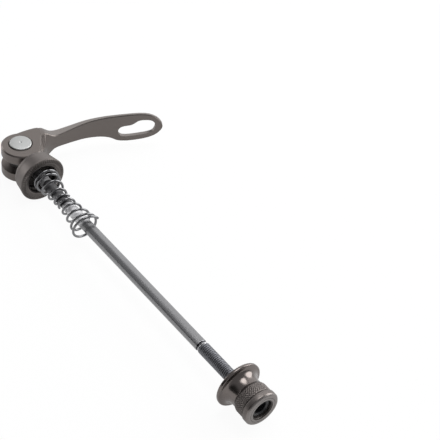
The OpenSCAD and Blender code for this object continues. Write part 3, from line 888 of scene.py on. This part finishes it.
# %% Cup
SADDLE_RADIUS = 10.4
CAM_REACH = 9.35
CAM_GAP = 0.05
CAM_OFFSET = 2.2 / math.pi
WASHER_THICKNESS = 1.9
WASHER_RADIUS = 12.2 / 2
WASHER_FIT = 0.01
PIN_X = float((extent("pivot_pin")[0][0] + extent("pivot_pin")[1][0]) / 2)
SADDLE_X = PIN_X + CAM_REACH + CAM_GAP - SADDLE_RADIUS
CUP_BACK_RADIUS = 14.5 / 2
CUP_SHOULDER_RADIUS = 18.2 / 2
CUP_SHOULDER_SHARE = 0.34
CUP_RING_RADIUS = 15.4 / 2
CUP_MOUTH_RADIUS = 12.6 / 2
CUP_SEAT_RADIUS = 11.4 / 2
CUP_HOLE_FIT = 0.05
CUP_EDGE = 0.435
MOUTH_FROM, MOUTH_TO, SEAT_TO = -0.55, -2.6, -4.9
FIRST_TOOTH_SHARE = 1.05
QUARTER = np.radians(np.linspace(0.0, 90.0, 15))
TURNED_CORNER, TURNED_STEPS = 0.1, 2
CUP_ROW_STEP = 0.45
CUP_COLUMNS = 720


def cut_saddle(grid):
    """x becomes at least saddle_x + sqrt(R^2 - (y - offset)^2)."""
    x, y = grid[..., 0], grid[..., 1]
    floor_x = SADDLE_X + np.sqrt(np.maximum(0.0, SADDLE_RADIUS ** 2 - (y - CAM_OFFSET) ** 2))
    grid[..., 0] = np.maximum(x, floor_x)
    return grid


def toothed_cup():
    """Closed profile turned about X, with the saddle and the teeth worked into it."""
    low, high = extent("cup")
    rim, back, edge = high[1], CUP_BACK_RADIUS, CUP_EDGE
    ring, mouth, seat = CUP_RING_RADIUS, CUP_MOUTH_RADIUS, CUP_SEAT_RADIUS
    bore, pocket = ROD_RADIUS + CUP_HOLE_FIT, WASHER_RADIUS + WASHER_FIT
    washer_x = low[0] + WASHER_THICKNESS
    shoulder_r = back + (CUP_SHOULDER_RADIUS - back) * np.sin(QUARTER)
    shoulder_rise = (high[0] - low[0]) * CUP_SHOULDER_SHARE * (1 - np.cos(QUARTER))
    shoulder = np.stack([shoulder_r, low[0] + edge / 2 + shoulder_rise], axis=-1)
    outside = [(pocket, washer_x), (pocket, low[0]), (back - edge, low[0])]
    rim_side = [(rim, -2 * edge), (rim, -edge), (rim - edge, 0.0)]
    tooth_band = [(ring + FIRST_TOOTH_SHARE * edge, 0.0), (ring + edge, 0.0), (ring, 0.0)]
    inside = [(mouth, MOUTH_FROM), (mouth, MOUTH_TO), (seat, MOUTH_TO - edge), (seat, SEAT_TO)]
    hole = [(bore + edge, SEAT_TO), (bore, SEAT_TO - edge), (bore, washer_x)]
    profile = np.concatenate([outside, shoulder, rim_side, tooth_band, inside, hole])
    profile = resampled(rounded(profile, TURNED_CORNER, TURNED_STEPS), CUP_ROW_STEP)
    grid = turned(profile, CUP_COLUMNS)
    grid = press_teeth(grid, 0.0, -1.0, ring + edge)
    return skin("toothed_cup", cut_saddle(grid), "blasted_cup", ring_closed=True)


cup_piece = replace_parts(toothed_cup(), "cup")
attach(cup_piece, "cup")

# %% [markdown]
# The nut is one turned shape: a flange, a neck that sweeps in like a trumpet, and a collar
# for the fingers. Its outline is worked out first, from the thread's bore over the toothed
# face and the neck to the collar's end, and back through the pocket. On the collar it
# follows the bottom of the knurl.

# %% Outline of the nut
KNURL_DEPTH = 0.3
KNURL_LENGTH = 3.8
KNURL_STEP = 0.01
KNURL_TOP_RADIUS = 13.75 / 2
FACE_TO_COLLAR = 7.05
COLLAR_GROOVE_SHARE = 1.3
FLANGE_THICKNESS = 1.45
NUT_EDGE = FLANGE_THICKNESS * 0.22
NECK_RADIUS, LIP_RADIUS = 12.3 / 2, 14.1 / 2
LIP_CHAMFER = 0.7
LIP_CURVE_SHARES = (0.6, 0.25, 1.2)
NUT_BORE, NUT_POCKET, NUT_SEAT = 2.5, 7.84 / 2, 11.6 / 2
POCKET_DEPTH, SEAT_DEPTH = 4.3, 1.4
TRUMPET_LENGTH = 5.6 * 0.86
TRUMPET_POWER = 1.35
TOOTH_BAND_STEP = 0.02


def nut_profile(face, end, flange, root):
    """The nut's closed (r, x) outline, and where its knurl starts and ends along X."""
    neck, lip, edge, lead = NECK_RADIUS, LIP_RADIUS, NUT_EDGE, THREAD_DEPTH
    bore, pocket, seat, chamfer = NUT_BORE, NUT_POCKET, NUT_SEAT, LIP_CHAMFER
    lip_in, lip_up, lip_end = LIP_CURVE_SHARES
    knurl_start = face + FACE_TO_COLLAR + KNURL_DEPTH
    knurl_end = knurl_start + KNURL_LENGTH
    groove_end = knurl_end + KNURL_DEPTH * COLLAR_GROOVE_SHARE
    core = root - KNURL_DEPTH / 3
    pocket_x, seat_x = end - POCKET_DEPTH, face + SEAT_DEPTH
    slope_from, tooth_in = face + FLANGE_THICKNESS, seat + 3 * edge
    sweep = (flange - edge - neck) * (1 - np.sin(QUARTER)) ** TRUMPET_POWER
    trumpet_x = slope_from + TRUMPET_LENGTH * (1 - np.cos(QUARTER))
    trumpet = np.stack([neck + sweep, trumpet_x], axis=-1)
    start = [(bore, seat_x + lead), (bore + lead, seat_x), (seat, seat_x), (seat, face)]
    start += [(tooth_in, face), (tooth_in + TOOTH_BAND_STEP, face)]
    rim = [(flange - edge, face), (flange, face + edge), (flange, slope_from - edge)]
    collar = [(core, knurl_start - KNURL_DEPTH), (core, knurl_start)]
    collar += [(root, knurl_start + KNURL_STEP), (root, knurl_end - KNURL_STEP)]
    collar += [(core, knurl_end), (core, groove_end)]
    tail = [(lip - edge, groove_end), (lip, groove_end + edge), (lip, end - chamfer)]
    tail += [(lip - chamfer * lip_in, end - chamfer * lip_up), (lip - chamfer * lip_end, end)]
    tail += [(pocket + edge, end), (pocket, end - edge), (pocket, pocket_x)]
    tail += [(bore + lead, pocket_x), (bore, pocket_x - lead)]
    profile = np.concatenate([start, rim, trumpet, collar, tail])
    return rounded(profile, TURNED_CORNER, TURNED_STEPS), knurl_start, knurl_end


print("knurl:", KNURL_LENGTH, "mm long and", 2 * KNURL_TOP_RADIUS, "mm across")

# %% [markdown]
# The collar is diamond knurled. Two sets of grooves run round it as helices, one left
# handed and one right handed, and what stands between them is a field of small pyramids.
# The height is the smaller of the two triangle waves. The turned grid gets closer rows
# there, and its points are then moved outwards by that height.

# %% Nut with its diamond knurl
KNURL_COUNT = 44
KNURL_ROW = 0.95
KNURL_RISE = 0.75
KNURL_ROWS = 38
KNURL_FADE = 0.35
KNURL_INSET = 0.02
COLLAR_SHARE, SAME_RADIUS = 0.9, 1e-9
NUT_COLUMNS = 660


def knurled_nut():
    """Radius on the collar = root + depth * rise * min(wave(n a + x / p), wave(n a - x / p))."""
    low, high = extent("nut")
    face, root = low[0], KNURL_TOP_RADIUS - KNURL_DEPTH
    profile, knurl_start, knurl_end = nut_profile(face, high[0], high[1], root)
    r, x = profile[:, 0], profile[:, 1]
    on_collar = (x > knurl_start) & (x < knurl_end) & (r > COLLAR_SHARE * root)
    first, last = np.flatnonzero(on_collar)[[0, -1]]
    rows = np.linspace(knurl_start + KNURL_INSET, knurl_end - KNURL_INSET, KNURL_ROWS)
    knurl_rows = np.stack([np.full_like(rows, root), rows], axis=-1)
    profile = np.concatenate([profile[:first], knurl_rows, profile[last + 1:]])
    grid = turned(profile, NUT_COLUMNS)
    x = grid[..., 0]
    turns = np.linspace(0.0, KNURL_COUNT, NUT_COLUMNS, endpoint=False)[None, :]
    left = np.abs((turns + x / KNURL_ROW) % 1.0 - 0.5) * 2
    right = np.abs((turns - x / KNURL_ROW) % 1.0 - 0.5) * 2
    fade = np.clip(np.minimum(x - knurl_start, knurl_end - x) / KNURL_FADE, 0.0, 1.0)
    raise_by = KNURL_DEPTH * KNURL_RISE * np.minimum(left, right) * fade
    is_knurl = (np.abs(profile[:, 0] - root) < SAME_RADIUS)[:, None]
    scale = np.where(is_knurl, 1 + np.minimum(raise_by, KNURL_DEPTH) / root, 1.0)
    grid[..., 1:] *= scale[..., None]
    grid = press_teeth(grid, face, 1.0, NUT_SEAT + 3 * NUT_EDGE)
    return skin("knurled_nut", grid, "turned_grey", ring_closed=True)


nut_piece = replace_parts(knurled_nut(), "nut")
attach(nut_piece, "nut")

# %% [markdown]
# The lever is milled from a bar: two ears, a neck, and a blade that ends in an open loop.
# Its solid already has the right outline, so a copy of it is taken, its loose triangles are
# joined, and a Bevel modifier breaks the edges by a tenth of a millimetre, as tumbling in
# the polishing drum does.

# %% Lever
EDGE_BREAK_MM = 0.12
EDGE_BREAK_STEPS = 2
JOIN_MM = 0.002
FLAT_WITHIN = math.radians(0.6)
SHARP_BEYOND = math.radians(24)


def softened_lever():
    """A merged copy of the lever's solid with its sharp edges broken."""
    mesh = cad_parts["lever"].data.copy()
    mesh.name = "satin_lever"
    work = bmesh.new()
    work.from_mesh(mesh)
    bmesh.ops.remove_doubles(work, verts=work.verts, dist=JOIN_MM * MM)
    bmesh.ops.dissolve_limit(work, angle_limit=FLAT_WITHIN, verts=work.verts, edges=work.edges)
    work.to_mesh(mesh)
    work.free()
    mesh.polygons.foreach_set("use_smooth", np.ones(len(mesh.polygons), dtype=bool))
    mesh.set_sharp_from_angle(angle=SHARP_BEYOND)
    mesh.materials.clear()
    mesh.materials.append(FINISHES["satin_grey"])
    piece = new_object("satin_lever", mesh)
    bevel = piece.modifiers.new("edge_break", "BEVEL")
    bevel.width = EDGE_BREAK_MM * MM
    bevel.segments = EDGE_BREAK_STEPS
    bevel.limit_method = "ANGLE"
    bevel.angle_limit = SHARP_BEYOND
    bevel.harden_normals = True
    print(f"satin_lever: {len(mesh.polygons)} faces before the bevel")
    return piece


lever_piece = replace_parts(softened_lever(), "lever")
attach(lever_piece, "lever")

# %% [markdown]
# The bearing washer in the cup's back and the locking ring in the nut hardly show, so their
# solids stay and only take a finish.

# %% Washer and locking ring
for node, finish in (("cam_washer", "bearing_black"), ("nut_insert", "black_nylon")):
    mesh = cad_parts[node].data
    mesh.materials.clear()
    mesh.materials.append(FINISHES[finish])
    print(node, "is finished in", finish)
